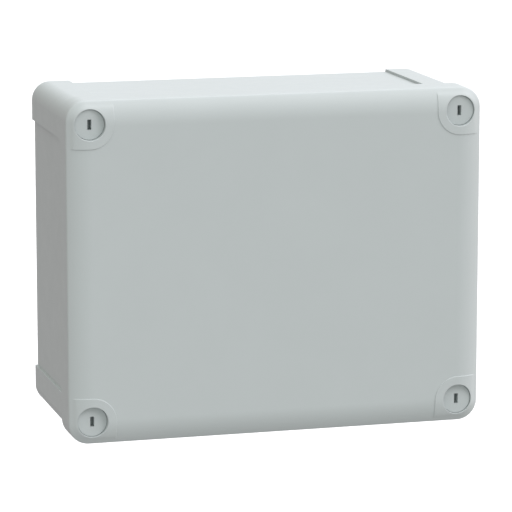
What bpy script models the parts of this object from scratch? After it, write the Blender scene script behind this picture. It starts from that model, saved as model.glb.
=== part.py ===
"""Wall-mounted electrical junction box with a lift-off cover and a row of rail terminals.

Metres, +Z up. X runs along the width, -Y points out of the cover, +Y into the wall.
The origin is the centre of the flat back face.
"""

import math

import bmesh
import bpy

# Overall size
WIDTH = 0.241
HEIGHT = 0.194
DEPTH = 0.107
GAP = 0.0003

# Cover
PAD_RAISE = 0.0004
COVER_HEIGHT = 0.0225
COVER_CORNER = 0.0118
CROWN_WIDTH = 0.014
LEAST_CORNER = 0.0005
CROWN_EDGE = 0.00095
CROWN_DROP = 0.0039
EDGE_RADIUS = 0.0018
COVER_SKIN = 0.0028
PAD_RADIUS = 0.0136
DRAFT = math.radians(1.0)

# Cover screws: quarter-turn, one in each corner
SCREW_INSET = 0.0133
HEAD_CHAMFER = 0.0003
HEAD_RADIUS = 0.0083
HEAD_SINK = 0.003
HEAD_THICK = 0.003
RECESS_RADIUS = 0.0086
SHANK_RADIUS = 0.004
COLLAR_RADIUS = 0.0052
COLLAR_HEIGHT = 0.0024
LUG_INSET = 0.0018
LUG_REACH = 0.0062
LUG_WIDTH = 0.0032
LUG_HEIGHT = 0.0035
SLOT = (0.002, 0.0018, 0.0056)
WEB = 0.003

# Base
WALL_INSET = (0.0034, 0.0036)
BLOCK_INSET = (0.0019, 0.0021)
BLOCK_SIZE = 0.0242
BASE_CORNER = (0.011, 0.0105)
WALL = 0.0025
FLOOR = 0.003
CAVITY_DRAFT = 0.0012
WELL_RADIUS = 0.0075
WELL_FLOOR = 0.009
FIXING_RADIUS = 0.0027
COLUMN_RADIUS = 0.011
COLUMN_FILLET = 0.0025
BACK_CHAMFER = 0.0006
PILOT_FLOOR = 0.0015

# How far joined pieces overlap, and how far a cutter runs past the face that it opens
OVERLAP = 0.001

# Seal: offsets are measured outwards from the cavity's edge at the rim
TONGUE = (0.0005, 0.0019)
TONGUE_HEIGHT = 0.0067
GROOVE = (-0.0003, 0.0024)
RIB_INNER = -0.0019
GASKET = (0.0, 0.0021)
GASKET_THICK = 0.003

# Rail, 35 mm top hat
RAIL_LENGTH = 0.206
RAIL_WIDTH = 0.035
RAIL_CHANNEL = 0.027
RAIL_DEPTH = 0.0075
RAIL_SHEET = 0.001
RAIL_SLOT_PITCH = 0.027
RAIL_SLOT_LENGTH = 0.015
RAIL_SLOT_WIDTH = 0.0052
RAIL_SCREW_X = 0.0945
PAN_HEAD = ((0.0024, 0.0024), (0.004, 0.0013), (0.004, 0))
CROSS_ARM = 0.0021
CROSS_HALF = 0.00045
CROSS_FLOOR = 0.0012
BOSS_HEIGHT = 0.006
BOSS_RADIUS = 0.0045
BOSS_HOLE = 0.0018
PLATE_BOSS = (0.088, 0.060)

# Terminals: half heights are measured from the rail's middle, depths from the enclosure's back
TERMINALS = 5
TERMINAL_WIDTH = 0.008
HOUSING_PLATE = 0.0015
HOUSING_NOSE = 0.016
HOUSING_HALF = 0.023
HOUSING_FOOT = 0.021
HOUSING_FRONT = -0.052
SHOULDER_FRONT = -0.044
SHOULDER_BACK = -0.038
SKIRT = -0.020
HOOK_HALF = 0.0152
HOOK_THICK = 0.0016
CHANNEL_HALF = 0.007
CHANNEL = (-0.0275, -0.0235)
CHAMBER_HALF = 0.019
CHAMBER = (-0.040, -0.022)
SCREW_WELL = 0.0026
WIRE_ENTRY = (-0.0345, -0.0265)
STRIP_START = -0.0339
END_PLATE_WIDTH = 0.0018
BAR_HALF_WIDTH = 0.0015
BAR_HALF = 0.016
BAR_FRONT = -0.0266
BAR_BACK = -0.0246
EARTH_LEG = (0.0148, 0.0166)
EARTH_SLOT = (0.0144, 0.017)
CAGE_HALF_X = 0.0029
CAGE_HALF_Z = 0.0034
CAGE_SHEET = (0.0011, 0.0016, 0.0014)
CAGE_FRONT = -0.038
CAGE_BACK = -0.0224
CLAMP_Z = 0.011
CLAMP_X = 0.0048
CLAMP_SHANK = 0.0014
CLAMP_HEAD = 0.0023
CLAMP_HEAD_HEIGHT = 0.003
CLAMP_SLOT_HALF = 0.0003
CLAMP_FRONT = -0.044
CLAMP_TIP = -0.0335

# End stops
STOP_WIDTH = 0.008
STOP_SCREW_FRONT = -0.034
STOP_NOSE = 0.010
STOP_HALF = 0.012
STOP_FOOT = 0.022
STOP_FRONT = -0.046
STOP_CHAMFER = -0.044
STOP_SHOULDER = (-0.034, -0.028)
STOP_WELL = (0.0028, -0.0305)
STOP_HOLE = 0.0018

# Worked out
FRONT = -(DEPTH - PAD_RAISE)
SEAM = -(DEPTH - COVER_HEIGHT)
RIM = SEAM + GAP
SCREW_X = WIDTH / 2 - SCREW_INSET
SCREW_Z = HEIGHT / 2 - SCREW_INSET
HEAD_FACE = -DEPTH + HEAD_SINK
SEAT = HEAD_FACE + HEAD_THICK + GAP
CAVITY_X = WIDTH / 2 - WALL_INSET[0] - WALL
CAVITY_Z = HEIGHT / 2 - WALL_INSET[0] - WALL
TONGUE_TOP = RIM - TONGUE_HEIGHT
GASKET_BACK = TONGUE_TOP - GAP
GROOVE_FLOOR = GASKET_BACK - GASKET_THICK - GAP
RAIL_BACK = -(FLOOR + BOSS_HEIGHT + GAP)
RAIL_FRONT = RAIL_BACK - RAIL_DEPTH
CORNERS = {
    "top_left": (-1, 1),
    "top_right": (1, 1),
    "bottom_left": (-1, -1),
    "bottom_right": (1, -1),
}


# ---------------------------------------------------------------- helpers


def clear_scene():
    for obj in list(bpy.data.objects):
        bpy.data.objects.remove(obj, do_unlink=True)


def material(name, colour, roughness, metallic=0.0):
    made = bpy.data.materials.new(name)
    made.use_nodes = True
    shader = made.node_tree.nodes["Principled BSDF"]
    shader.inputs["Base Color"].default_value = (*colour, 1.0)
    shader.inputs["Roughness"].default_value = roughness
    shader.inputs["Metallic"].default_value = metallic
    return made


def at_depth(outline, y):
    """An (x, z) outline laid in the plane of that y."""
    return [(x, y, z) for x, z in outline]


def at_width(outline, x):
    """A (z, y) outline laid in the plane of that x."""
    return [(x, y, z) for z, y in outline]


def new_object(name, bm, location=(0, 0, 0)):
    bmesh.ops.recalc_face_normals(bm, faces=bm.faces)
    mesh = bpy.data.meshes.new(name)
    bm.to_mesh(mesh)
    bm.free()
    obj = bpy.data.objects.new(name, mesh)
    obj.location = location
    bpy.context.collection.objects.link(obj)
    return obj


def loft(name, loops, ring=False, location=(0, 0, 0)):
    """A closed solid through loops of equal length, capped at its ends, or joined round as a ring."""
    bm = bmesh.new()
    rows = [[bm.verts.new(point) for point in loop] for loop in loops]
    count = len(rows[0])
    pairs = list(zip(rows, rows[1:]))
    if ring:
        pairs.append((rows[-1], rows[0]))
    for first, second in pairs:
        for i in range(count):
            j = (i + 1) % count
            bm.faces.new((first[i], first[j], second[j], second[i]))
    if not ring:
        bm.faces.new(rows[0])
        bm.faces.new(rows[-1])
    return new_object(name, bm, location)


def arc(cx, cz, radius, start, end, steps):
    """Points from start to end, in degrees, both included."""
    angles = [math.radians(start + (end - start) * k / steps) for k in range(steps + 1)]
    return [(cx + radius * math.cos(a), cz + radius * math.sin(a)) for a in angles]


def circle(cx, cz, radius, steps):
    return arc(cx, cz, radius, 0, 360, steps)[:-1]


def rectangle(x0, x1, z0, z1):
    return [(x0, z0), (x1, z0), (x1, z1), (x0, z1)]


def rounded_rectangle(half_x, half_z, radius, steps):
    points = []
    for sx, sz, start in ((1, 1, 0), (-1, 1, 90), (-1, -1, 180), (1, -1, 270)):
        centre = (sx * (half_x - radius), sz * (half_z - radius))
        points += arc(*centre, radius, start, start + 90, steps)
    return points


def prism(name, outline, y0, y1, location=(0, 0, 0)):
    return loft(name, [at_depth(outline, y0), at_depth(outline, y1)], location=location)


def slab(name, outline, x0, x1):
    """A (z, y) outline extruded along X."""
    return loft(name, [at_width(outline, x0), at_width(outline, x1)])


def box(name, low, high, location=(0, 0, 0)):
    outline = rectangle(low[0], high[0], low[2], high[2])
    return prism(name, outline, low[1], high[1], location)


def combine(target, others, operation="DIFFERENCE"):
    """Applies Booleans with the other objects to the target's mesh, and removes the others."""
    for other in others:
        modifier = target.modifiers.new(other.name, "BOOLEAN")
        modifier.operation = operation
        modifier.object = other
    bpy.context.view_layer.update()
    graph = bpy.context.evaluated_depsgraph_get()
    mesh = bpy.data.meshes.new_from_object(target.evaluated_get(graph))
    target.modifiers.clear()
    target.data = mesh
    mesh.name = target.name
    for other in others:
        bpy.data.objects.remove(other, do_unlink=True)
    return target


def finish(obj, surface, parent=None, smooth_below=30):
    """Gives the object its material, smooth round faces and its parent."""
    obj.data.materials.clear()
    obj.data.materials.append(surface)
    obj.data.shade_smooth()
    obj.data.set_sharp_from_angle(angle=math.radians(smooth_below))
    if parent:
        obj.parent = parent
        bpy.context.view_layer.update()
        obj.matrix_parent_inverse = parent.matrix_world.inverted()
    return obj


# ---------------------------------------------------------------- outlines


def cover_outline(inset):
    radius = max(COVER_CORNER - inset, LEAST_CORNER)
    return rounded_rectangle(WIDTH / 2 - inset, HEIGHT / 2 - inset, radius, 6)


def crown_profile(steps):
    """(inset, drop) from the flat front out to where the edge radius starts, and the slope there."""
    run = CROWN_WIDTH - CROWN_EDGE
    radius = (run**2 + CROWN_DROP**2) / (2 * CROWN_DROP)
    slope = math.asin(run / radius)
    angles = [slope * k / steps for k in range(steps + 1)]
    points = [(CROWN_WIDTH - radius * math.sin(a), radius * (1 - math.cos(a))) for a in angles]
    return points, slope


def edge_profile(slope, steps):
    """(inset, drop) round the small radius between the crown and the side wall."""
    end = math.pi / 2 - DRAFT
    angles = [slope + (end - slope) * k / steps for k in range(1, steps + 1)]
    return [
        (
            CROWN_EDGE - EDGE_RADIUS * (math.sin(a) - math.sin(slope)),
            CROWN_DROP + EDGE_RADIUS * (math.cos(slope) - math.cos(a)),
        )
        for a in angles
    ]


def base_outline(wall_inset, block_inset, corner):
    """Plain walls between corner blocks that stand proud of them."""
    wall_x = WIDTH / 2 - wall_inset
    wall_z = HEIGHT / 2 - wall_inset
    block_x = WIDTH / 2 - block_inset
    block_z = HEIGHT / 2 - block_inset
    step_x = WIDTH / 2 - BLOCK_SIZE
    step_z = HEIGHT / 2 - BLOCK_SIZE
    quarter = [(wall_x, step_z), (block_x, step_z)]
    quarter += arc(block_x - corner, block_z - corner, corner, 0, 90, 6)
    quarter += [(step_x, block_z), (step_x, wall_z)]
    return four_quarters(quarter)


def cavity_outline(offset):
    """The sealed space's edge: straight walls, and an arc round each corner column."""
    wall_x = CAVITY_X + offset
    wall_z = CAVITY_Z + offset
    radius = COLUMN_RADIUS - offset
    fillet = COLUMN_FILLET + offset
    face_x = SCREW_X - radius
    face_z = SCREW_Z - radius
    quarter = arc(wall_x - fillet, face_z - fillet, fillet, 0, 90, 2)
    quarter += arc(SCREW_X, SCREW_Z, radius, 270, 180, 5)
    quarter += arc(face_x - fillet, wall_z - fillet, fillet, 0, 90, 2)
    return four_quarters(quarter)


def four_quarters(quarter):
    """The outline of all four corners, anticlockwise, from that of the corner at +X, +Z."""
    back = list(reversed(quarter))
    return (
        quarter
        + [(-x, z) for x, z in back]
        + [(-x, -z) for x, z in quarter]
        + [(x, -z) for x, z in back]
    )


def band(name, inner, outer, y0, y1):
    """A closed ring between two offsets of the cavity's edge."""
    inside = cavity_outline(inner)
    outside = cavity_outline(outer)
    loops = [at_depth(inside, y0), at_depth(outside, y0), at_depth(outside, y1), at_depth(inside, y1)]
    return loft(name, loops, ring=True)


def corner_places():
    return [(sx * SCREW_X, sz * SCREW_Z) for sx, sz in CORNERS.values()]


# ---------------------------------------------------------------- enclosure


def make_base(surface):
    front_wall, back_wall = WALL_INSET
    front_block, back_block = BLOCK_INSET
    front_corner, back_corner = BASE_CORNER
    edge = base_outline(back_wall + BACK_CHAMFER, back_block + BACK_CHAMFER, back_corner)
    loops = [
        at_depth(edge, 0),
        at_depth(base_outline(back_wall, back_block, back_corner), -BACK_CHAMFER),
        at_depth(base_outline(front_wall, front_block, front_corner), RIM),
    ]
    base = loft("enclosure_base", loops)
    tongue = band("tongue", *TONGUE, RIM + OVERLAP, TONGUE_TOP)
    combine(base, [tongue], "UNION")
    past = TONGUE_TOP - OVERLAP
    cavity = loft(
        "cavity",
        [
            at_depth(cavity_outline(-CAVITY_DRAFT), -FLOOR),
            at_depth(cavity_outline(0), RIM),
            at_depth(cavity_outline(0), past),
        ],
    )
    combine(base, [cavity])
    boss_top = -(FLOOR + BOSS_HEIGHT)
    places = [(sx * RAIL_SCREW_X, 0) for sx in (-1, 1)]
    places += [(sx * PLATE_BOSS[0], sz * PLATE_BOSS[1]) for sx, sz in CORNERS.values()]
    bosses = [
        prism("boss", circle(x, z, BOSS_RADIUS, 16), -FLOOR + OVERLAP, boss_top) for x, z in places
    ]
    combine(base, bosses, "UNION")
    holes = []
    for x, z in places:
        pilot = circle(x, z, BOSS_HOLE, 10)
        holes.append(prism("pilot", pilot, -PILOT_FLOOR, boss_top - OVERLAP))
    for x, z in corner_places():
        fixing = circle(x, z, FIXING_RADIUS, 12)
        holes.append(prism("well", circle(x, z, WELL_RADIUS, 20), -WELL_FLOOR, past))
        holes.append(prism("fixing", fixing, OVERLAP, -WELL_FLOOR - OVERLAP))
    combine(base, holes)
    return finish(base, surface)


def make_cover(surface, parent):
    crown, slope = crown_profile(5)
    profile = crown + edge_profile(slope, 3)
    side = [at_depth(cover_outline(inset), FRONT + drop) for inset, drop in profile]
    cover = loft("cover", side + [at_depth(cover_outline(0), SEAM)])

    raised = [at_depth(cover_outline(inset), FRONT + drop - PAD_RAISE) for inset, drop in crown]
    raised.append(at_depth(cover_outline(CROWN_EDGE), SEAT + OVERLAP))
    pads = loft("pads", raised)
    before = -DEPTH - OVERLAP
    reach = SCREW_INSET + OVERLAP
    prisms = []
    for sx, sz in CORNERS.values():
        outline = [(reach, -PAD_RADIUS), (reach, reach), (-PAD_RADIUS, reach)]
        outline += arc(0, 0, PAD_RADIUS, 180, 270, 8)
        outline = [(sx * (SCREW_X + x), sz * (SCREW_Z + z)) for x, z in outline]
        prisms.append(prism("pad", outline, before, SEAT))
    area = combine(prisms[0], prisms[1:], "UNION")
    combine(pads, [area], "INTERSECT")
    combine(cover, [pads], "UNION")

    past = SEAM + OVERLAP
    pocket = prism("pocket", cavity_outline(RIB_INNER), FRONT + COVER_SKIN, past)
    groove = band("groove", *GROOVE, GROOVE_FLOOR, past)
    combine(cover, [pocket, groove])
    web_back = SEAT + WEB
    holes = []
    for x, z in corner_places():
        recess = circle(x, z, RECESS_RADIUS, 24)
        hole = circle(x, z, SHANK_RADIUS + GAP, 16)
        core = circle(x, z, WELL_RADIUS - GAP, 20)
        holes.append(prism("recess", recess, before, SEAT))
        holes.append(prism("hole", hole, SEAT - OVERLAP, web_back + OVERLAP))
        holes.append(prism("core", core, web_back, past))
    combine(cover, holes)
    return finish(cover, surface, parent)


def make_gasket(surface, parent):
    gasket = band("cover_gasket", *GASKET, GASKET_BACK, GASKET_BACK - GASKET_THICK)
    return finish(gasket, surface, parent)


def make_cover_screw(name, x, z, surface, parent):
    """Flat slotted head, shank with a collar behind the cover's web, and two lugs.

    Its origin is on its own axis, at the head's face.
    """
    place = (x, HEAD_FACE, z)
    collar = SEAT + WEB + GAP - HEAD_FACE
    lugs = RIM + LUG_INSET - HEAD_FACE
    end = lugs + LUG_HEIGHT + OVERLAP
    outer = [
        (HEAD_RADIUS - HEAD_CHAMFER, 0),
        (HEAD_RADIUS, HEAD_CHAMFER),
        (HEAD_RADIUS, HEAD_THICK),
        (SHANK_RADIUS, HEAD_THICK),
        (SHANK_RADIUS, collar),
        (COLLAR_RADIUS, collar),
        (SHANK_RADIUS, collar + COLLAR_HEIGHT),
        (SHANK_RADIUS, end),
    ]
    loops = [at_depth(circle(0, 0, radius, 24), y) for radius, y in outer]
    screw = loft(name, loops, location=place)
    lug = box(
        "lug",
        (-LUG_REACH, lugs, -LUG_WIDTH / 2),
        (LUG_REACH, lugs + LUG_HEIGHT, LUG_WIDTH / 2),
        place,
    )
    combine(screw, [lug], "UNION")
    width, deep, tall = SLOT
    slot = box("slot", (-width / 2, -OVERLAP, -tall / 2), (width / 2, deep, tall / 2), place)
    combine(screw, [slot])
    return finish(screw, surface, parent)


# ---------------------------------------------------------------- rail


def make_rail(surface, parent):
    web = RAIL_BACK - RAIL_SHEET
    flange = RAIL_FRONT + RAIL_SHEET
    outer = RAIL_CHANNEL / 2
    inner = outer - RAIL_SHEET
    edge = RAIL_WIDTH / 2
    half = [
        (inner, web),
        (inner, RAIL_FRONT),
        (edge, RAIL_FRONT),
        (edge, flange),
        (outer, flange),
        (outer, RAIL_BACK),
    ]
    outline = half + [(-z, y) for z, y in reversed(half)]
    rail = slab("mounting_rail", outline, -RAIL_LENGTH / 2, RAIL_LENGTH / 2)
    slots = []
    half_slot = RAIL_SLOT_LENGTH / 2
    radius = RAIL_SLOT_WIDTH / 2
    for k in range(-3, 5):
        centre = (k - 0.5) * RAIL_SLOT_PITCH
        ends = arc(centre + half_slot - radius, 0, radius, -90, 90, 5)
        ends += arc(centre - half_slot + radius, 0, radius, 90, 270, 5)
        slots.append(prism("slot", ends, RAIL_BACK + OVERLAP, web - OVERLAP))
    combine(rail, slots)
    return finish(rail, surface, parent)


def make_rail_screw(name, x, surface, parent):
    head_back = RAIL_BACK - RAIL_SHEET - GAP
    shank_radius = BOSS_HOLE - GAP
    outer = [(radius, head_back - height) for radius, height in PAN_HEAD]
    outer += [(shank_radius, head_back), (shank_radius, -FLOOR)]
    screw = loft(name, [at_depth(circle(x, 0, radius, 16), y) for radius, y in outer])
    front = head_back - PAN_HEAD[0][1] - OVERLAP
    back = head_back - CROSS_FLOOR
    cross = box("arm", (x - CROSS_ARM, front, -CROSS_HALF), (x + CROSS_ARM, back, CROSS_HALF))
    arm = box("arm", (x - CROSS_HALF, front, -CROSS_ARM), (x + CROSS_HALF, back, CROSS_ARM))
    combine(screw, [combine(cross, [arm], "UNION")])
    return finish(screw, surface, parent)


# ---------------------------------------------------------------- terminals


def mirrored(half):
    """A closed (z, y) outline from its half at +Z, which runs from the front to the back."""
    return half + [(-z, y) for z, y in reversed(half)]


def housing_outline():
    return mirrored(
        [
            (HOUSING_NOSE, HOUSING_FRONT),
            (HOUSING_NOSE, SHOULDER_FRONT),
            (HOUSING_HALF, SHOULDER_BACK),
            (HOUSING_HALF, SKIRT),
            (HOUSING_FOOT, RAIL_FRONT - GAP),
            *rail_hook(HOUSING_FOOT),
        ]
    )


def rail_hook(foot):
    """The (z, y) end of a half outline that reaches round the rail's edge."""
    hook = RAIL_FRONT + RAIL_SHEET + GAP
    edge = RAIL_WIDTH / 2 + GAP
    return [
        (foot, hook + HOOK_THICK),
        (HOOK_HALF, hook + HOOK_THICK),
        (HOOK_HALF, hook),
        (edge, hook),
        (edge, RAIL_FRONT - GAP),
    ]


def pocket_outline():
    """Bar channel, clamp chambers, screw wells open to the front and wire entries open to both ends."""
    front = HOUSING_FRONT - OVERLAP
    end = HOUSING_HALF + OVERLAP
    return mirrored(
        [
            (CHANNEL_HALF, CHANNEL[0]),
            (CHANNEL_HALF, CHAMBER[0]),
            (CLAMP_Z - SCREW_WELL, CHAMBER[0]),
            (CLAMP_Z - SCREW_WELL, front),
            (CLAMP_Z + SCREW_WELL, front),
            (CLAMP_Z + SCREW_WELL, CHAMBER[0]),
            (CHAMBER_HALF, CHAMBER[0]),
            (CHAMBER_HALF, WIRE_ENTRY[0]),
            (end, WIRE_ENTRY[0]),
            (end, WIRE_ENTRY[1]),
            (CHAMBER_HALF, WIRE_ENTRY[1]),
            (CHAMBER_HALF, CHAMBER[1]),
            (CHANNEL_HALF, CHAMBER[1]),
            (CHANNEL_HALF, CHANNEL[1]),
        ]
    )


def make_housing(name, x, surface, parent):
    """Open on its +X side, where the next piece on the rail closes it."""
    housing = slab(name, housing_outline(), x, x + TERMINAL_WIDTH)
    pocket = slab("pocket", pocket_outline(), x + HOUSING_PLATE, x + TERMINAL_WIDTH + OVERLAP)
    combine(housing, [pocket])
    return finish(housing, surface, parent)


def make_bar(name, centre, surface, parent):
    low = (centre - BAR_HALF_WIDTH, BAR_FRONT, -BAR_HALF)
    high = (centre + BAR_HALF_WIDTH, BAR_BACK, BAR_HALF)
    return finish(box(name, low, high), surface, parent)


def make_earth_bar(name, centre, surface, parent):
    """The bar's two legs stand on the rail's flanges."""
    foot = RAIL_FRONT - GAP
    inner, outer = EARTH_LEG
    half = [(outer, BAR_FRONT), (outer, foot), (inner, foot), (inner, BAR_BACK)]
    bar = slab(name, mirrored(half), centre - BAR_HALF_WIDTH, centre + BAR_HALF_WIDTH)
    return finish(bar, surface, parent)


def open_leg_slots(housing, x):
    """Ways through the housing's back for the earth bar's legs."""
    slots = []
    for side in (-1, 1):
        low, high = sorted(side * edge for edge in EARTH_SLOT)
        start = (x + HOUSING_PLATE, CHAMBER[1] - OVERLAP, low)
        end = (x + TERMINAL_WIDTH + OVERLAP, RAIL_FRONT, high)
        slots.append(box("leg_slot", start, end))
    combine(housing, slots)


def make_cage(name, centre, z, surface, parent):
    """A square loop round the bar, open to the wire, with a hole in front for the clamp screw."""
    side, front, back = CAGE_SHEET
    low = (centre - CAGE_HALF_X, CAGE_FRONT, z - CAGE_HALF_Z)
    high = (centre + CAGE_HALF_X, CAGE_BACK, z + CAGE_HALF_Z)
    cage = box(name, low, high)
    inside = CAGE_HALF_X - side
    past = CAGE_HALF_Z + OVERLAP
    low = (centre - inside, CAGE_FRONT + front, z - past)
    high = (centre + inside, CAGE_BACK - back, z + past)
    way = box("way", low, high)
    round_hole = circle(centre, z, CLAMP_SHANK + GAP, 10)
    hole = prism("hole", round_hole, CAGE_FRONT - OVERLAP, CAGE_FRONT + front + OVERLAP)
    combine(cage, [way, hole])
    return finish(cage, surface, parent)


def make_clamp_screw(name, centre, z, front, tip, surface, parent):
    """Slotted screw along Y, from its head's face to its tip."""
    head_back = front + CLAMP_HEAD_HEIGHT
    outer = [
        (CLAMP_HEAD - GAP, front),
        (CLAMP_HEAD, front + GAP),
        (CLAMP_HEAD, head_back),
        (CLAMP_SHANK, head_back),
        (CLAMP_SHANK, tip),
    ]
    screw = loft(name, [at_depth(circle(centre, z, radius, 12), y) for radius, y in outer])
    past = CLAMP_HEAD + OVERLAP
    low = (centre - past, front - OVERLAP, z - CLAMP_SLOT_HALF)
    high = (centre + past, front + OVERLAP, z + CLAMP_SLOT_HALF)
    combine(screw, [box("slot", low, high)])
    return finish(screw, surface, parent)


def make_terminal(label, x, kind, looks, parent):
    """One rail terminal: housing, current bar, and a cage and a screw for each of its two clamps."""
    centre = x + CLAMP_X
    housing = make_housing(f"{label}_housing", x, looks[kind], parent)
    if kind == "earth":
        open_leg_slots(housing, x)
        make_earth_bar(f"{label}_bar", centre, looks["copper"], parent)
    else:
        make_bar(f"{label}_bar", centre, looks["copper"], parent)
    for side, z in (("upper", CLAMP_Z), ("lower", -CLAMP_Z)):
        make_cage(f"{label}_cage_{side}", centre, z, looks["zinc"], parent)
        screw = f"{label}_screw_{side}"
        make_clamp_screw(screw, centre, z, CLAMP_FRONT, CLAMP_TIP, looks["zinc"], parent)


def make_end_plate(name, x, surface, parent):
    plate = slab(name, housing_outline(), x, x + END_PLATE_WIDTH)
    return finish(plate, surface, parent)


def make_end_stop(name, x, surface, parent):
    outline = mirrored(
        [
            (STOP_NOSE, STOP_FRONT),
            (STOP_HALF, STOP_CHAMFER),
            (STOP_HALF, STOP_SHOULDER[0]),
            (STOP_FOOT, STOP_SHOULDER[1]),
            *rail_hook(STOP_FOOT),
        ]
    )
    stop = slab(name, outline, x, x + STOP_WIDTH)
    middle = x + STOP_WIDTH / 2
    radius, floor = STOP_WELL
    well = prism("well", circle(middle, 0, radius, 14), STOP_FRONT - OVERLAP, floor)
    hole = circle(middle, 0, STOP_HOLE, 10)
    hole = prism("hole", hole, floor - OVERLAP, RAIL_FRONT - GAP + OVERLAP)
    combine(stop, [well, hole])
    return finish(stop, surface, parent)


def make_stop_and_screw(side, x, looks, parent):
    make_end_stop(f"end_stop_{side}", x, looks["stop"], parent)
    centre = x + STOP_WIDTH / 2
    screw = f"end_stop_screw_{side}"
    tip = RAIL_FRONT - GAP
    make_clamp_screw(screw, centre, 0, STOP_SCREW_FRONT, tip, looks["zinc"], parent)


def make_strip(looks, parent):
    """The row on the rail, from left to right."""
    x = STRIP_START
    make_stop_and_screw("left", x, looks, parent)
    x += STOP_WIDTH + GAP
    for number in range(1, TERMINALS + 1):
        make_terminal(f"terminal_{number}", x, "terminal", looks, parent)
        x += TERMINAL_WIDTH + GAP
    make_terminal("earth_terminal", x, "earth", looks, parent)
    x += TERMINAL_WIDTH + GAP
    make_end_plate("end_plate", x, looks["terminal"], parent)
    x += END_PLATE_WIDTH + GAP
    make_stop_and_screw("right", x, looks, parent)


# ---------------------------------------------------------------- assembly


def main():
    clear_scene()
    looks = {
        "plastic": material("grey_abs", (0.49, 0.52, 0.52), 0.45),
        "screw": material("grey_polyamide", (0.47, 0.50, 0.50), 0.4),
        "seal": material("foam_seal", (0.03, 0.03, 0.03), 0.9),
        "zinc": material("zinc_steel", (0.62, 0.63, 0.64), 0.32, 1.0),
        "copper": material("tinned_copper", (0.70, 0.66, 0.60), 0.3, 1.0),
        "terminal": material("terminal_grey", (0.32, 0.33, 0.34), 0.5),
        "earth": material("terminal_green", (0.08, 0.36, 0.10), 0.5),
        "stop": material("stop_beige", (0.55, 0.50, 0.40), 0.5),
    }
    base = make_base(looks["plastic"])
    cover = make_cover(looks["plastic"], base)
    make_gasket(looks["seal"], cover)
    for name, (sx, sz) in CORNERS.items():
        make_cover_screw(f"cover_screw_{name}", sx * SCREW_X, sz * SCREW_Z, looks["screw"], cover)
    make_rail(looks["zinc"], base)
    make_rail_screw("rail_screw_left", -RAIL_SCREW_X, looks["zinc"], base)
    make_rail_screw("rail_screw_right", RAIL_SCREW_X, looks["zinc"], base)
    make_strip(looks, base)


main()
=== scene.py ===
"""Looks of the electrical junction box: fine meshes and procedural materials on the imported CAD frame."""

import math

import bmesh
import bpy
from mathutils import Matrix, Vector
from mathutils.geometry import delaunay_2d_cdt


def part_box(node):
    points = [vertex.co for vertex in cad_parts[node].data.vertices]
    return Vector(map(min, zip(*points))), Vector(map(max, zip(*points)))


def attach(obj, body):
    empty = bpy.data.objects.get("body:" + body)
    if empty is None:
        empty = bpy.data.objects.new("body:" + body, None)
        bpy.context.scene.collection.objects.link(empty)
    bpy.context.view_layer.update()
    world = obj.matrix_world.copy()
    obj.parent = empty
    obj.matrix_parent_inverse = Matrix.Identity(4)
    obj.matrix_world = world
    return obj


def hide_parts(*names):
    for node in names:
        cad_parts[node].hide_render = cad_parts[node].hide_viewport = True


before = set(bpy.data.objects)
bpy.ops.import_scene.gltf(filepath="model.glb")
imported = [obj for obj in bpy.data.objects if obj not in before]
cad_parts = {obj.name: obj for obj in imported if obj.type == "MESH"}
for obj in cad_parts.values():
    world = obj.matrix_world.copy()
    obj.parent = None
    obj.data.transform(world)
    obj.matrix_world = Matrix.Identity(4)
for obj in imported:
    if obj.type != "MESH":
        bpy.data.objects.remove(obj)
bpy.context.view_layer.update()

MM = 0.001

# ---- places read from the frame

BASE_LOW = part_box("enclosure_base")[0]
COVER_LOW, COVER_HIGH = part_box("cover")
HEAD_LOW, HEAD_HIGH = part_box("cover_screw_top_right")
GASKET_LOW, GASKET_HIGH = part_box("cover_gasket")

# The box's back lies at y = 0 and its front at negative y; x = 0 and z = 0 are its middle.
HALF_X = COVER_HIGH.x
HALF_Z = COVER_HIGH.z
PAD_RAISE = 0.4 * MM
FRONT = COVER_LOW.y + PAD_RAISE
SEAM = COVER_HIGH.y
GAP = 0.3 * MM
RIM = SEAM + GAP
SCREW_X = (HEAD_LOW.x + HEAD_HIGH.x) / 2
SCREW_Z = (HEAD_LOW.z + HEAD_HIGH.z) / 2
HEAD_FACE = HEAD_LOW.y
HEAD_RADIUS = (HEAD_HIGH.x - HEAD_LOW.x) / 2
TONGUE_TOP = BASE_LOW.y

# ---- shape of the mouldings

COVER_CORNER = 11.8 * MM
LEAST_CORNER = 0.5 * MM
CORNER_STEPS = 20
CROWN_WIDTH = 14 * MM
CROWN_EDGE = 0.95 * MM
CROWN_DROP = 3.9 * MM
EDGE_RADIUS = 1.8 * MM
EDGE_STEPS = 9
COVER_LIP = 0.35 * MM
DRAFT = math.radians(1)
COVER_SKIN = 2.8 * MM
PAD_RADIUS = 13.6 * MM
PAD_RAMP = 0.25 * MM
PAD_FADE = (2 * MM, 4.5 * MM)  # insets at which a pad starts to stand out, and stands out in full
RECESS_RADIUS = 8.6 * MM
MOUTH_ROUND = 0.35 * MM
HEAD_THICK = 3 * MM
HEAD_FULLER = 0.12 * MM  # a true circle round the CAD's faceted head
SEAT = HEAD_FACE + HEAD_THICK + GAP
WEB = 3 * MM
SHANK_RADIUS = 4 * MM
WELL_RADIUS = 7.5 * MM
WELL_FLOOR = 9 * MM
FIXING_RADIUS = 2.7 * MM

# The tub tapers: these pairs hold the value at its front end and at its back end.
FRONT_END, BACK_END = 0, 1
WALL_INSET = (3.4 * MM, 3.6 * MM)
BLOCK_INSET = (1.9 * MM, 2.1 * MM)
BLOCK_SIZE = 24.2 * MM
BASE_CORNER = (11 * MM, 10.5 * MM)

BASE_CORNER_STEPS = 16
STEP_ROUND = 0.15 * MM
WALL = 2.5 * MM
FLOOR = 3 * MM
CAVITY_DRAFT = 1.2 * MM
COLUMN_RADIUS = 11 * MM
COLUMN_FILLET = 2.5 * MM
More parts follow.
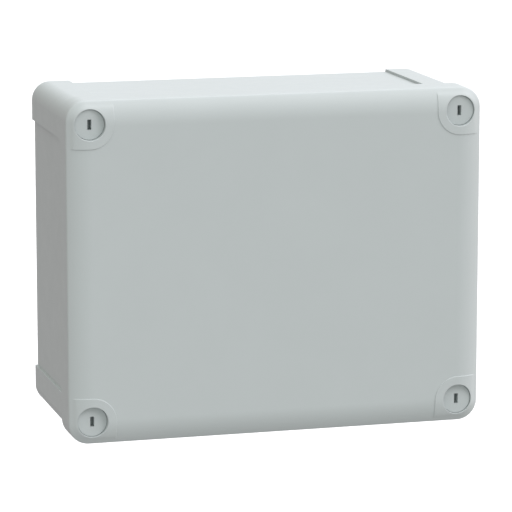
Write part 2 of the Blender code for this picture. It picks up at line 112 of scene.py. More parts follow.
# Offsets outward from the cavity's edge, inner side first.
TONGUE = (0.5 * MM, 1.9 * MM)
GROOVE = (-0.3 * MM, 2.4 * MM)
RIB_INNER = -1.9 * MM
CAVITY_X = HALF_X - WALL_INSET[FRONT_END] - WALL
CAVITY_Z = HALF_Z - WALL_INSET[FRONT_END] - WALL
BOSS_HEIGHT = 6 * MM
PLATE_BOSS_X = 88 * MM
PLATE_BOSS_Z = 60 * MM
QUARTER_TURN = [math.radians(degrees) for degrees in (0, 22.5, 45, 67.5, 90)]

# Lines of the cover's front plan: insets in mm, shares of the pad's ramp and of the mouth's rounding.
PLAN_INSETS = (0.95, 1.4, 1.9, 2.5, 3.2, 4.0, 5.0, 6.0, 7.0, 8.1, 9.2, 10.4, 11.6, 12.8, 14.0, 14.4, 17)
PAD_LINES = (-6, -2, -0.6, 0, 0.2, 0.4, 0.6, 0.8, 1, 1.6, 3, 6)
MOUTH_RINGS = (3.5, 2, 1.3, 1, 0.62, 0.3, 0.08, 0)
RING_STEPS = 72
LONGEST_SIDE = 3 * MM
GRID_SPACING = 10 * MM
MERGE_WITHIN = 1e-7

# Shading: edges sharper than this stay sharp, and faces flatter than this are one.
SHARP = math.radians(35)
FLAT = math.radians(0.01)
LARGE_FACES_LEAD = 100

CORNERS = {
    "top_left": (-1, 1),
    "top_right": (1, 1),
    "bottom_left": (-1, -1),
    "bottom_right": (1, -1),
}
SCREW_PLACES = [(sx * SCREW_X, sz * SCREW_Z) for sx, sz in CORNERS.values()]


# ---- outlines


def arc(cx, cz, radius, start, end, steps):
    """Points from start to end, in degrees, both included."""
    angles = [math.radians(start + (end - start) * k / steps) for k in range(steps + 1)]
    return [(cx + radius * math.cos(a), cz + radius * math.sin(a)) for a in angles]


def circle(cx, cz, radius, steps):
    """A closed ring of points."""
    return arc(cx, cz, radius, 0, 360, steps)[:-1]


def four_quarters(quarter):
    """The outline of all four corners, anticlockwise, from that of the corner at +X, +Z."""
    back = list(reversed(quarter))
    return (
        quarter
        + [(-x, z) for x, z in back]
        + [(-x, -z) for x, z in quarter]
        + [(x, -z) for x, z in back]
    )


def divided(outline, longest):
    """The closed outline with its long straight stretches cut into shorter ones."""
    points = []
    for (x0, z0), (x1, z1) in zip(outline, outline[1:] + outline[:1]):
        parts = max(1, math.ceil(math.hypot(x1 - x0, z1 - z0) / longest))
        points += [(x0 + (x1 - x0) * k / parts, z0 + (z1 - z0) * k / parts) for k in range(parts)]
    return points


def cover_outline(inset):
    """The cover's outline, drawn in by a distance."""
    radius = max(COVER_CORNER - inset, LEAST_CORNER)
    centre_x = HALF_X - inset - radius
    centre_z = HALF_Z - inset - radius
    return four_quarters(arc(centre_x, centre_z, radius, 0, 90, CORNER_STEPS))


def base_outline(wall_inset, block_inset, corner):
    """Plain walls between corner blocks that stand proud of them, with rounded steps."""
    wall_x = HALF_X - wall_inset
    wall_z = HALF_Z - wall_inset
    block_x = HALF_X - block_inset
    block_z = HALF_Z - block_inset
    step_x = HALF_X - BLOCK_SIZE
    step_z = HALF_Z - BLOCK_SIZE
    soft = STEP_ROUND
    quarter = arc(wall_x + soft, step_z - soft, soft, 180, 90, 3)
    quarter += arc(block_x - soft, step_z + soft, soft, -90, 0, 4)
    quarter += arc(block_x - corner, block_z - corner, corner, 0, 90, BASE_CORNER_STEPS)
    quarter += arc(step_x + soft, block_z - soft, soft, 90, 180, 4)
    quarter += arc(step_x - soft, wall_z + soft, soft, 0, -90, 3)
    return four_quarters(quarter)


def cavity_outline(offset):
    """The sealed space's edge: straight walls, and an arc round each corner column."""
    wall_x = CAVITY_X + offset
    wall_z = CAVITY_Z + offset
    radius = COLUMN_RADIUS - offset
    fillet = COLUMN_FILLET + offset
    face_x = SCREW_X - radius
    face_z = SCREW_Z - radius
    quarter = arc(wall_x - fillet, face_z - fillet, fillet, 0, 90, 6)
    quarter += arc(SCREW_X, SCREW_Z, radius, 270, 180, 16)
    quarter += arc(face_x - fillet, wall_z - fillet, fillet, 0, 90, 6)
    return four_quarters(quarter)


# ---- mesh helpers


def at_depth(outline, y):
    """The outline's (x, z) points at depth y."""
    return [(x, y, z) for x, z in outline]


def new_object(name, bm):
    """The bmesh as an object in the scene, its faces turned outward."""
    bmesh.ops.recalc_face_normals(bm, faces=bm.faces)
    mesh = bpy.data.meshes.new(name)
    bm.to_mesh(mesh)
    bm.free()
    obj = bpy.data.objects.new(name, mesh)
    bpy.context.scene.collection.objects.link(obj)
    return obj


def loft(name, loops, ring=False):
    """A closed solid through loops of equal length, capped at its ends, or joined round as a ring."""
    bm = bmesh.new()
    rows = [[bm.verts.new(point) for point in loop] for loop in loops]
    pairs = list(zip(rows, rows[1:]))
    if ring:
        pairs.append((rows[-1], rows[0]))
    for first, second in pairs:
        join_rows(bm, first, second)
    if not ring:
        bm.faces.new(rows[0])
        bm.faces.new(rows[-1])
    return new_object(name, bm)


def join_rows(bm, first, second):
    """A closed band of faces between two rings of vertices."""
    count = len(first)
    for i in range(count):
        j = (i + 1) % count
        bm.faces.new((first[i], first[j], second[j], second[i]))


def bake_modifiers(obj):
    """Replaces the object's mesh by what its modifiers make of it."""
    bpy.context.view_layer.update()
    graph = bpy.context.evaluated_depsgraph_get()
    mesh = bpy.data.meshes.new_from_object(obj.evaluated_get(graph))
    obj.modifiers.clear()
    obj.data = mesh
    mesh.name = obj.name


def combine(target, others, operation="DIFFERENCE"):
    """Applies Booleans with the other objects to the target's mesh, and removes the others."""
    for other in others:
        modifier = target.modifiers.new(other.name, "BOOLEAN")
        modifier.operation = operation
        modifier.solver = "EXACT"
        modifier.object = other
    bake_modifiers(target)
    for other in others:
        bpy.data.objects.remove(other, do_unlink=True)
    return target


def rounded(obj, width, segments=3):
    """The object with its edges bevelled."""
    modifier = obj.modifiers.new("round", "BEVEL")
    modifier.width = width
    modifier.segments = segments
    modifier.limit_method = "ANGLE"
    bake_modifiers(obj)
    return obj


def turned(name, profile, x, z, steps):
    """A solid of revolution about the Y axis through (x, z), from its (radius, y) profile."""
    return loft(name, [at_depth(circle(x, z, radius, steps), y) for radius, y in profile])


def prism(name, outline, y0, y1):
    """A solid along Y from its (x, z) outline."""
    return loft(name, [at_depth(outline, y0), at_depth(outline, y1)])


def box(name, low, high):
    """A block between two opposite corners."""
    outline = [(low[0], low[2]), (high[0], low[2]), (high[0], high[2]), (low[0], high[2])]
    return prism(name, outline, low[1], high[1])


def merge_flat_faces(mesh):
    """One face for each flat region, so no sliver of it shows under smooth shading."""
    whole = bmesh.new()
    whole.from_mesh(mesh)
    bmesh.ops.dissolve_limit(
        whole,
        angle_limit=FLAT,
        use_dissolve_boundaries=False,
        verts=whole.verts,
        edges=whole.edges,
    )
    whole.to_mesh(mesh)
    whole.free()


def dress(obj, look, body, replaces=()):
    """Material, smooth shading, and the piece's place in the frame."""
    merge_flat_faces(obj.data)
    obj.data.materials.clear()
    obj.data.materials.append(look)
    obj.data.shade_smooth()
    obj.data.set_sharp_from_angle(angle=SHARP)
    flatten = obj.modifiers.new("flat_faces_stay_flat", "WEIGHTED_NORMAL")
    flatten.weight = LARGE_FACES_LEAD
    flatten.keep_sharp = True
    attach(obj, body)
    if replaces:
        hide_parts(*replaces)


# ---- cover


def crown_radius():
    """The radius of the arc by which the border falls away from the flat front."""
    run = CROWN_WIDTH - CROWN_EDGE
    return (run**2 + CROWN_DROP**2) / (2 * CROWN_DROP)


def crown_drop(inset):
    """How far the crowned border lies behind the flat front, at that distance in from the outline."""
    run = max(0.0, CROWN_WIDTH - inset)
    radius = crown_radius()
    return radius - math.sqrt(radius**2 - run**2)


def outward(x, z):
    """The cover outline's outward direction nearest to a point of its border."""
    over_x = abs(x) - (HALF_X - COVER_CORNER)
    over_z = abs(z) - (HALF_Z - COVER_CORNER)
    if over_x > 0 and over_z > 0:
        length = math.hypot(over_x, over_z)
        return math.copysign(over_x / length, x), math.copysign(over_z / length, z)
    if HALF_X - abs(x) < HALF_Z - abs(z):
        return math.copysign(1.0, x), 0.0
    return 0.0, math.copysign(1.0, z)


def inset_of(x, z):
    """A point's distance in from the cover's outline."""
    over_x = abs(x) - (HALF_X - COVER_CORNER)
    over_z = abs(z) - (HALF_Z - COVER_CORNER)
    if over_x > 0 and over_z > 0:
        return COVER_CORNER - math.hypot(over_x, over_z)
    return min(HALF_X - abs(x), HALF_Z - abs(z))


def smooth_step(t):
    """0 below 0, 1 above 1, and an S-shaped rise between."""
    t = min(1.0, max(0.0, t))
    return t * t * (3 - 2 * t)


def pad_raise(x, z):
    """How far the raised pad round the nearest screw stands out at a point."""
    u = min(0.0, abs(x) - SCREW_X)
    v = min(0.0, abs(z) - SCREW_Z)
    start, full = PAD_FADE
    fade = smooth_step((inset_of(x, z) - start) / (full - start))
    return PAD_RAISE * fade * smooth_step((PAD_RADIUS - math.hypot(u, v)) / PAD_RAMP)


def mouth_drop(x, z):
    """The small rounding at the mouth of the nearest screw recess."""
    radius = math.hypot(abs(x) - SCREW_X, abs(z) - SCREW_Z)
    into = min(MOUTH_ROUND, max(0.0, RECESS_RADIUS + MOUTH_ROUND - radius))
    return MOUTH_ROUND - math.sqrt(MOUTH_ROUND**2 - into**2)


def front_height(x, z):
    """The y of the cover's front at a point."""
    return FRONT + crown_drop(inset_of(x, z)) + mouth_drop(x, z) - pad_raise(x, z)


def pad_line(depth_in, sx, sz):
    """The line a given distance inside a pad's edge, out to the cover's border on both sides."""
    radius = PAD_RADIUS - depth_in
    past_border = 1 * MM
    reach = HALF_X - SCREW_X + past_border
    steps = 6
    straight = [(reach * (steps - k) / steps, -radius) for k in range(steps)]
    turn = arc(0, 0, radius, 270, 180, 24)
    points = straight + turn + [(z, x) for x, z in reversed(straight)]
    return [(sx * (SCREW_X + u), sz * (SCREW_Z + v)) for u, v in points]


def cover_front_plan():
    """Flat triangulation of the cover's front: border lines, pad edges and screw recesses."""
    points = []
    edges = []

    def add(line, closed):
        start = len(points)
        points.extend(Vector(p) for p in line)
        last = len(line) if closed else len(line) - 1
        edges.extend((start + i, start + (i + 1) % len(line)) for i in range(last))

    for inset in PLAN_INSETS:
        add(divided(cover_outline(inset * MM), LONGEST_SIDE), True)
    for sx, sz in CORNERS.values():
        for share in PAD_LINES:
            add(pad_line(PAD_RAMP * share, sx, sz), False)
    for x, z in SCREW_PLACES:
        for share in MOUTH_RINGS:
            add(circle(x, z, RECESS_RADIUS + MOUTH_ROUND * share, RING_STEPS), True)
    across = int((HALF_X - CROWN_WIDTH) / GRID_SPACING)
    up = int((HALF_Z - CROWN_WIDTH) / GRID_SPACING)
    for i in range(-across, across + 1):
        for k in range(-up, up + 1):
            points.append(Vector((i * GRID_SPACING, k * GRID_SPACING)))
    places, _, triangles = delaunay_2d_cdt(points, edges, [], 0, MERGE_WITHIN)[:3]
    return places, triangles


def ordered_loop(edges):
    """The vertices of a closed chain of edges, in order."""
    links = {}
    for edge in edges:
        a, b = edge.verts
        links.setdefault(a, []).append(b)
        links.setdefault(b, []).append(a)
    start = next(iter(links))
    loop = [start]
    before, here = None, start
    while True:
        after = next(v for v in links[here] if v is not before)
        if after is start:
            return loop
        loop.append(after)
        before, here = here, after


def boundary_loops(bm):
    """The closed loops of edges that have a face on one side only, in the same order each run."""
    left = dict.fromkeys(edge for edge in bm.edges if len(edge.link_faces) == 1)
    loops = []
    while left:
        seed = left.popitem()[0]
        chain = [seed]
        fringe = [seed]
        while fringe:
            edge = fringe.pop()
            for vert in edge.verts:
                for near in vert.link_edges:
                    if near in left:
                        del left[near]
                        chain.append(near)
                        fringe.append(near)
        loops.append(ordered_loop(chain))
    return loops


def extend(bm, loop, places):
    """Adds a row of faces from the loop to its vertices' new places, and returns the new loop."""
    row = [bm.verts.new(place) for place in places]
    join_rows(bm, loop, row)
    return row


def cover_side_profile():
    """(inset, y, share of the pad's raise left) from the crown's edge, down the side to the seam."""
    slope = math.asin((CROWN_WIDTH - CROWN_EDGE) / crown_radius())
    end = math.pi / 2 - DRAFT
    rows = []
    for k in range(1, EDGE_STEPS + 1):
        a = slope + (end - slope) * k / EDGE_STEPS
        inset = CROWN_EDGE - EDGE_RADIUS * (math.sin(a) - math.sin(slope))
        drop = CROWN_DROP + EDGE_RADIUS * (math.cos(slope) - math.cos(a))
        rows.append((inset, FRONT + drop, 1 - 0.5 * k / EDGE_STEPS))
    inset, y, left = rows[-1]
    for share in (0.12, 0.35, 1.0):
        place = y + (SEAM - COVER_LIP - y) * share
        rows.append((inset * (1 - share), place, max(0.0, left * (1 - share * 2.5))))
    rows += [(0.1 * MM, SEAM - 0.1 * MM, 0), (COVER_LIP, SEAM, 0)]
    return rows


def make_cover(look):
    """Crowned lift-off cover: raised pads and screw recesses in front, seal groove and ribs behind."""
    places, triangles = cover_front_plan()
    bm = bmesh.new()
    verts = [bm.verts.new((p.x, front_height(p.x, p.y), p.y)) for p in places]
    for triangle in triangles:
        x = sum(places[i].x for i in triangle) / 3
        z = sum(places[i].y for i in triangle) / 3
        in_recess = math.hypot(abs(x) - SCREW_X, abs(z) - SCREW_Z) < RECESS_RADIUS
        if not in_recess and inset_of(x, z) > CROWN_EDGE:
            bm.faces.new([verts[i] for i in triangle])
    bmesh.ops.delete(bm, geom=[v for v in bm.verts if not v.link_faces], context="VERTS")
    wider_than_recess = 3 * RECESS_RADIUS
    for loop in boundary_loops(bm):
        if max(abs(v.co.x) for v in loop) - min(abs(v.co.x) for v in loop) > wider_than_recess:
            close_side(bm, loop)
        else:
            close_recess(bm, loop)
    cover = new_object("cover_moulding", bm)
    dress(cut_cover_inside(cover), look, "cover", ["cover"])


def close_side(bm, loop):
    """The cover's rounded edge, side and back face, from the border of its front."""
    start = [(v.co.x, v.co.z) for v in loop]
    outs = [outward(x, z) for x, z in start]
    raises = [pad_raise(x, z) for x, z in start]
    for inset, y, left in cover_side_profile():
        out = CROWN_EDGE - inset
        places = [
            (x + ox * out, y - up * left, z + oz * out)
            for (x, z), (ox, oz), up in zip(start, outs, raises)
        ]
        loop = extend(bm, loop, places)
    bm.faces.new(loop)


def close_recess(bm, loop):
    """A screw recess's wall, fillet and floor, from its mouth."""
    centre_x = sum(v.co.x for v in loop) / len(loop)
    centre_z = sum(v.co.z for v in loop) / len(loop)
    fillet = 0.3 * MM
    half_way = 0.09 * MM
    for shrink, y in ((0, SEAT - fillet), (half_way, SEAT - half_way), (fillet, SEAT)):
        share = 1 - shrink / RECESS_RADIUS
        places = [
            (centre_x + (v.co.x - centre_x) * share, y, centre_z + (v.co.z - centre_z) * share)
            for v in loop
        ]
        loop = extend(bm, loop, places)
    bm.faces.new(loop)


def flared(name, offset, floor, mouth, flare, fillet):
    """A cutter along the cavity's edge, rounded at its floor and flared at its mouth."""
    loops = []
    for degrees in (0, 30, 60, 90):
        a = math.radians(degrees)
        shrink = fillet * (1 - math.sin(a))
        loops.append(at_depth(cavity_outline(offset - shrink), floor + fillet * (1 - math.cos(a))))
    loops.append(at_depth(cavity_outline(offset), mouth - flare))
    loops.append(at_depth(cavity_outline(offset + flare * 1.5), mouth + flare / 2))
    return loft(name, loops)


def groove_cutter(floor, mouth, flare):
    """A ring along the cavity's edge, flared at its mouth."""
    inner, outer = GROOVE
    rows = [
        (inner, floor),
        (outer, floor),
        (outer, mouth - flare),
        (outer + flare * 1.5, mouth + flare / 2),
        (inner - flare * 1.5, mouth + flare / 2),
        (inner, mouth - flare),
    ]
    return loft("groove", [at_depth(cavity_outline(offset), y) for offset, y in rows], ring=True)


def cut_cover_inside(cover):
    """Cuts the pocket, seal groove, screw holes, wells and ejector marks into the cover's back."""
    flare = 0.25 * MM
    fillet = 0.9 * MM
    pocket = flared("pocket", RIB_INNER, FRONT + COVER_SKIN, SEAM, flare, fillet)
    groove = groove_cutter(GASKET_LOW.y - GAP, SEAM, flare)
    combine(cover, [pocket, groove])
    web_back = SEAT + WEB
    core = WELL_RADIUS - GAP
    hole = SHANK_RADIUS + GAP
    cutters = []
    for x, z in SCREW_PLACES:
        profile = [
            (hole, SEAT - 0.5 * MM),
            (hole, web_back - 0.3 * MM),
            (hole + 0.4 * MM, web_back + 0.1 * MM),
        ]
        cutters.append(turned("hole", profile, x, z, 48))
        profile = [
            (core - 0.5 * MM, web_back),
            (core, web_back + 0.5 * MM),
            (core, SEAM - flare),
            (core + flare * 1.5, SEAM + flare / 2),
        ]
        cutters.append(turned("core", profile, x, z, 56))
    combine(cover, cutters)
    return combine(cover, ejector_marks())


def ejector_marks():
    """Shallow round marks of the mould's ejector pins on the cover's inner face."""
    inner_face = FRONT + COVER_SKIN
    depth = 0.15 * MM
    radius = 3 * MM
    profile = [(radius, inner_face - depth), (radius, inner_face + depth)]
    return [
        turned("mark", profile, x, z, 32)
        for x in (-80 * MM, 0.0, 80 * MM)
        for z in (-55 * MM, 55 * MM)
    ]


# ---- base


def make_base(look):
    """Deep tub: corner blocks and columns, rim tongue, rail and plate bosses, wall-fixing wells."""
    back_round = 0.8 * MM
    rows = []
    for a in QUARTER_TURN:
        rows.append((BACK_END, back_round * (1 - math.sin(a)), -back_round * (1 - math.cos(a))))
    lip = 0.25 * MM
    for share in (0, 0.3, 1):
        rows.append((FRONT_END, lip * share, RIM + lip * (1 - share) ** 2))
    loops = []
    for end, shrink, y in rows:
        outline = base_outline(WALL_INSET[end] + shrink, BLOCK_INSET[end] + shrink, BASE_CORNER[end])
        loops.append(at_depth(outline, y))
    base = loft("base_moulding", loops)

    inner, outer = TONGUE
    soft = 0.3 * MM
    root = RIM + 1 * MM
    tongue_rows = [
        (inner, root),
        (inner, TONGUE_TOP + soft),
        (inner + soft, TONGUE_TOP),
        (outer - soft, TONGUE_TOP),
        (outer, TONGUE_TOP + soft),
        (outer, root),
    ]
    loops = [at_depth(cavity_outline(offset), y) for offset, y in tongue_rows]
    combine(base, [loft("tongue", loops, ring=True)], "UNION")

    past = TONGUE_TOP - 2 * MM
    fillet = 1.1 * MM
    flare = 0.2 * MM
    loops = []
    for a in QUARTER_TURN:
        shrink = CAVITY_DRAFT + fillet * (1 - math.sin(a))
        loops.append(at_depth(cavity_outline(-shrink), -FLOOR - fillet * (1 - math.cos(a))))
    loops.append(at_depth(cavity_outline(0), RIM + flare))
    loops.append(at_depth(cavity_outline(flare), RIM - flare))
    loops.append(at_depth(cavity_outline(flare), past))
    combine(base, [loft("cavity", loops)])
    combine(base, base_bosses(), "UNION")
    combine(base, base_holes())
    dress(base, look, "base", ["enclosure_base"])


def boss_places():
    """Two bosses under the rail's screws and four for a mounting plate."""
    rail_x = (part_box("rail_screw_right")[0].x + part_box("rail_screw_right")[1].x) / 2
    places = [(-rail_x, 0), (rail_x, 0)]
    places += [(sx * PLATE_BOSS_X, sz * PLATE_BOSS_Z) for sx, sz in CORNERS.values()]
    return places


def base_bosses():
    """Round bosses on the tub's floor, with a fillet at each foot."""
    top = -(FLOOR + BOSS_HEIGHT)
    soft = 0.3 * MM
    radius = 4.5 * MM
    profile = [
        (radius + 1.6 * MM, -FLOOR + 0.5 * MM),
        (radius + 1.6 * MM, -FLOOR),
        (radius + 0.5 * MM, -FLOOR - 0.5 * MM),
        (radius + 0.1 * MM, -FLOOR - 1.4 * MM),
        (radius, top + soft),
        (radius - soft, top),
    ]
    return [turned("boss", profile, x, z, 40) for x, z in boss_places()]


def base_holes():
    """Cutters for the pilot holes in the bosses, the corner wells and the wall-fixing holes."""
    flare = 0.3 * MM
    top = -(FLOOR + BOSS_HEIGHT)
    pilot = 1.8 * MM
    cutters = []
    for x, z in boss_places():
        profile = [
            (pilot, -1.5 * MM),
            (pilot, top + flare),
            (pilot + 2 * flare, top - flare),
        ]
        cutters.append(turned("pilot", profile, x, z, 28))
    for x, z in SCREW_PLACES:
        profile = [
            (WELL_RADIUS - 0.6 * MM, -WELL_FLOOR),
            (WELL_RADIUS, -WELL_FLOOR - 0.6 * MM),
            (WELL_RADIUS, RIM + flare),
            (WELL_RADIUS + 2 * flare, RIM - flare),
        ]
        cutters.append(turned("well", profile, x, z, 56))
        profile = [
            (FIXING_RADIUS + 1 * MM, 0.5 * MM),
            (FIXING_RADIUS, -0.5 * MM),
            (FIXING_RADIUS, -WELL_FLOOR - 1 * MM),
        ]
        cutters.append(turned("fixing", profile, x, z, 36))
    return cutters


# ---- cover screws


def make_cover_screw(corner, x, z, look):
    """Flat slotted quarter-turn screw: rounded head, shank, retaining collar and two lugs."""
    edge = 0.2 * MM
    head = HEAD_RADIUS + HEAD_FULLER
    collar = SEAT + WEB + GAP
    collar_radius = 5.2 * MM
    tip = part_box(f"cover_screw_{corner}")[1].y
    profile = [
        (head - edge, HEAD_FACE),
        (head - 0.3 * edge, HEAD_FACE + 0.3 * edge),
        (head, HEAD_FACE + edge),
        (head, HEAD_FACE + HEAD_THICK - 0.1 * MM),
        (head - 0.1 * MM, HEAD_FACE + HEAD_THICK),
        (SHANK_RADIUS, HEAD_FACE + HEAD_THICK),
        (SHANK_RADIUS, collar),
        (collar_radius - 0.1 * MM, collar),
        (collar_radius, collar + 0.15 * MM),
        (SHANK_RADIUS, collar + 2.4 * MM),
        (SHANK_RADIUS, tip - 0.5 * MM),
        (SHANK_RADIUS - 0.5 * MM, tip),
    ]
    screw = turned(f"quarter_turn_screw_{corner}", profile, x, z, 72)
    lug_front = RIM + 1.8 * MM
    lug_back = lug_front + 3.5 * MM
    lug_reach = 6.2 * MM
    lug_half = 1.6 * MM
    low = (x - lug_reach, lug_front, z - lug_half)
    high = (x + lug_reach, lug_back, z + lug_half)
    lug = rounded(box("lug", low, high), 0.4 * MM)
    combine(screw, [lug], "UNION")
    half_x = 1.15 * MM
    half_z = 2.9 * MM
    soft = 0.3 * MM
    quarter = arc(half_x - soft, half_z - soft, soft, 0, 90, 4)
    slot_outline = [(x + u, z + v) for u, v in four_quarters(quarter)]
    slot_floor = HEAD_FACE + 5.5 * MM
    combine(screw, [prism("slot", slot_outline, HEAD_FACE - 1 * MM, slot_floor)])
    dress(screw, look, f"screw_{corner}", [f"cover_screw_{corner}"])


# ---- seal


def make_seal(look):
    """Foamed seal in the cover's groove, with a rounded bead towards the tongue."""
    inner = 0.0
    outer = 2.1 * MM
    floor = GASKET_LOW.y
    face = GASKET_HIGH.y
    middle = (inner + outer) / 2
    half = (outer - inner) / 2
    rows = [(inner, floor), (outer, floor)]
    bead = 0.7 * MM
    for degrees in range(0, 181, 20):
        a = math.radians(degrees)
        rows.append((middle + half * math.cos(a), face - bead + bead * math.sin(a)))
    seal = loft("foam_seal", [at_depth(cavity_outline(offset), y) for offset, y in rows], ring=True)
    dress(seal, look, "cover", ["cover_gasket"])


# ---- rail


def slab(name, outline, x0, x1):
    """A solid along X from its (z, y) outline."""
    return loft(name, [[(x, y, z) for z, y in outline] for x in (x0, x1)])


def mirrored(half):
    """A closed (z, y) outline from its half at +Z."""
    return half + [(-z, y) for z, y in reversed(half)]


def swept(path, thickness):
    """The (z, y) outline of a sheet of that thickness along a path, offset to both sides."""
    near = []
    far = []
    for i, (z, y) in enumerate(path):
        z0, y0 = path[max(0, i - 1)]
        z1, y1 = path[min(len(path) - 1, i + 1)]
        length = math.hypot(z1 - z0, y1 - y0)
        nz = -(y1 - y0) / length * thickness / 2
        ny = (z1 - z0) / length * thickness / 2
        near.append((z + nz, y + ny))
        far.append((z - nz, y - ny))
    return near + list(reversed(far))


def make_rail(look):
    """Top-hat rail of folded, slotted sheet."""
    low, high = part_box("mounting_rail")
    sheet = 1 * MM
    bend = 0.9 * MM
    web = high.y - sheet / 2
    flange = low.y + sheet / 2
    side = 13 * MM
    edge = high.z - 0.001 * MM  # a hair inside the CAD's edge
    path = arc(side - bend, web - bend, bend, 90, 0, 6)
    path += arc(side + bend, flange + bend, bend, 180, 270, 6)
    path += [(edge, flange)]
    whole = [(-z, y) for z, y in reversed(path)] + path
    rail = slab("slotted_rail", swept(whole, sheet), low.x, high.x)
    slots = []
    pitch = 27 * MM
    radius = 2.6 * MM
    reach = 7.5 * MM - radius
    past = 2 * MM
    for k in range(-3, 5):
        centre = (k - 0.5) * pitch
        ends = arc(centre + reach, 0, radius, -90, 90, 12)
        ends += arc(centre - reach, 0, radius, 90, 270, 12)
        slots.append(prism("slot", ends, web - past, web + past))
    combine(rail, slots)
    dress(rounded(rail, 0.12 * MM, 2), look, "base", ["mounting_rail"])


def make_rail_screw(side, look):
    """Pan-head screw with a cross recess, and a washer face under its head."""
    low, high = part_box(f"rail_screw_{side}")
    x = (low.x + high.x) / 2
    front = low.y
    under = front + 2.4 * MM
    dome = 1.7 * MM
    shank = 1.5 * MM
    radius = 4 * MM
    profile = [(0.3 * MM, front)]
    for degrees in range(15, 91, 15):
        a = math.radians(degrees)
        profile.append((radius * math.sin(a), front + dome * (1 - math.cos(a))))
    profile += [(radius, under), (shank, under), (shank, high.y)]
    screw = turned(f"pan_head_screw_{side}", profile, x, 0, 40)
    arms = []
    for long_x, long_z in ((2.1, 0.45), (0.45, 2.1)):
        mouth = [(x - long_x * MM, -long_z * MM), (x + long_x * MM, -long_z * MM)]
        mouth += [(x + long_x * MM, long_z * MM), (x - long_x * MM, long_z * MM)]
        point = [(x + (px - x) * 0.45, pz * 0.45) for px, pz in mouth]
        arms.append(loft("arm", [at_depth(mouth, front - 0.5 * MM), at_depth(point, front + 1.7 * MM)]))
    combine(screw, [combine(arms[0], [arms[1]], "UNION")])
    dress(screw, look, "base", [f"rail_screw_{side}"])


# ---- terminals

RAIL_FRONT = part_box("mounting_rail")[0].y
HOUSING_WIDTH = 8 * MM
PLATE = 1.5 * MM
CLAMP_X = 4.8 * MM
CLAMP_Z = 11 * MM
# The hooks that hold terminals and end stops on the rail's two edges.
HOOK_CLEAR = RAIL_FRONT - GAP
HOOK_FACE = RAIL_FRONT + 1 * MM + GAP
HOOK_BACK = HOOK_FACE + 1.6 * MM
HOOK_SIDE = 17.5 * MM + GAP
HOOK_TIP = 15.2 * MM
TERMINAL_SCREW_FRONT = -44 * MM
TERMINAL_SCREW_TIP = -33.5 * MM
STOP_SCREW_FRONT = -34 * MM


def housing_outline():
    """The (z, y) outline of a terminal that hooks over both edges of the rail."""
    return mirrored(
        [
            (16 * MM, -52 * MM),
            (16 * MM, -44 * MM),
            (23 * MM, -38 * MM),
            (23 * MM, -20 * MM),
            (21 * MM, HOOK_CLEAR),
            (21 * MM, HOOK_BACK),
            (HOOK_TIP, HOOK_BACK),
            (HOOK_TIP, HOOK_FACE),
            (HOOK_SIDE, HOOK_FACE),
            (HOOK_SIDE, HOOK_CLEAR),
        ]
    )


def pocket_outline():
    """Bar channel, clamp chambers, screw wells open to the front and wire entries open to both ends."""
    well = 2.6 * MM
    return mirrored(
        [
            (7 * MM, -27.5 * MM),
            (7 * MM, -40 * MM),
            (CLAMP_Z - well, -40 * MM),
            (CLAMP_Z - well, -50.5 * MM),
            (CLAMP_Z - well - 0.6 * MM, -53 * MM),
            (CLAMP_Z + well + 0.6 * MM, -53 * MM),
            (CLAMP_Z + well, -50.5 * MM),
            (CLAMP_Z + well, -40 * MM),
            (19 * MM, -40 * MM),
            (19 * MM, -34.5 * MM),
            (22 * MM, -34.5 * MM),
            (24 * MM, -35.2 * MM),
            (24 * MM, -25.8 * MM),
            (22 * MM, -26.5 * MM),
            (19 * MM, -26.5 * MM),
            (19 * MM, -22 * MM),
            (7 * MM, -22 * MM),
            (7 * MM, -23.5 * MM),
        ]
    )


def housing_mesh(name, earth):
    """One terminal's moulding with its left face at x = 0: rounded edges, pocket, marker groove."""
    housing = rounded(slab(name, housing_outline(), 0, HOUSING_WIDTH), 0.3 * MM)
    combine(housing, [slab("pocket", pocket_outline(), PLATE, HOUSING_WIDTH + 1 * MM)])
    cutters = [box("groove", (0.8 * MM, -53 * MM, -5.2 * MM), (7.2 * MM, -50.8 * MM, 5.2 * MM))]
    if earth:
        for z in (-15.7 * MM, 15.7 * MM):
            low = (PLATE, -22.5 * MM, z - 1.3 * MM)
            high = (HOUSING_WIDTH + 1 * MM, RAIL_FRONT, z + 1.3 * MM)
            cutters.append(box("leg_slot", low, high))
    return combine(housing, cutters)


def cage_mesh(name):
    """A bent square loop round the bar, with a threaded collar in front for its screw."""
    low = (-2.9 * MM, -38 * MM, -3.4 * MM)
    high = (2.9 * MM, -22.4 * MM, 3.4 * MM)
    cage = rounded(box(name, low, high), 0.45 * MM)
    low = (-1.8 * MM, -36.4 * MM, -5 * MM)
    high = (1.8 * MM, -23.8 * MM, 5 * MM)
    way = box("way", low, high)
    hole = turned("hole", [(1.7 * MM, -39 * MM), (1.7 * MM, -36 * MM)], 0, 0, 24)
    return combine(cage, [way, hole])


def clamp_screw_mesh(name, front, tip):
    """Slotted cheese-head screw along Y, with ridges for its thread."""
    head = 2.3 * MM
    soft = 0.25 * MM
    under = front + 3 * MM
    shank = 1.4 * MM
    profile = [
        (head - 0.5 * MM, front),
        (head - 0.15 * MM, front + 0.12 * MM),
        (head, front + 0.12 * MM + soft),
        (head, under),
        (shank, under),
    ]
    pitch = 0.6 * MM
    y = under + 0.4 * MM
    while y + pitch < tip - 0.6 * MM:
        profile += [(shank, y), (shank - 0.22 * MM, y + pitch / 2)]
        y += pitch
    profile += [(shank, y), (shank, tip - 0.4 * MM), (shank - 0.4 * MM, tip)]
    screw = turned(name, profile, 0, 0, 28)
    low = (-3 * MM, front - 1 * MM, -0.35 * MM)
    high = (3 * MM, front + 1.1 * MM, 0.35 * MM)
    return combine(screw, [box("slot", low, high)])


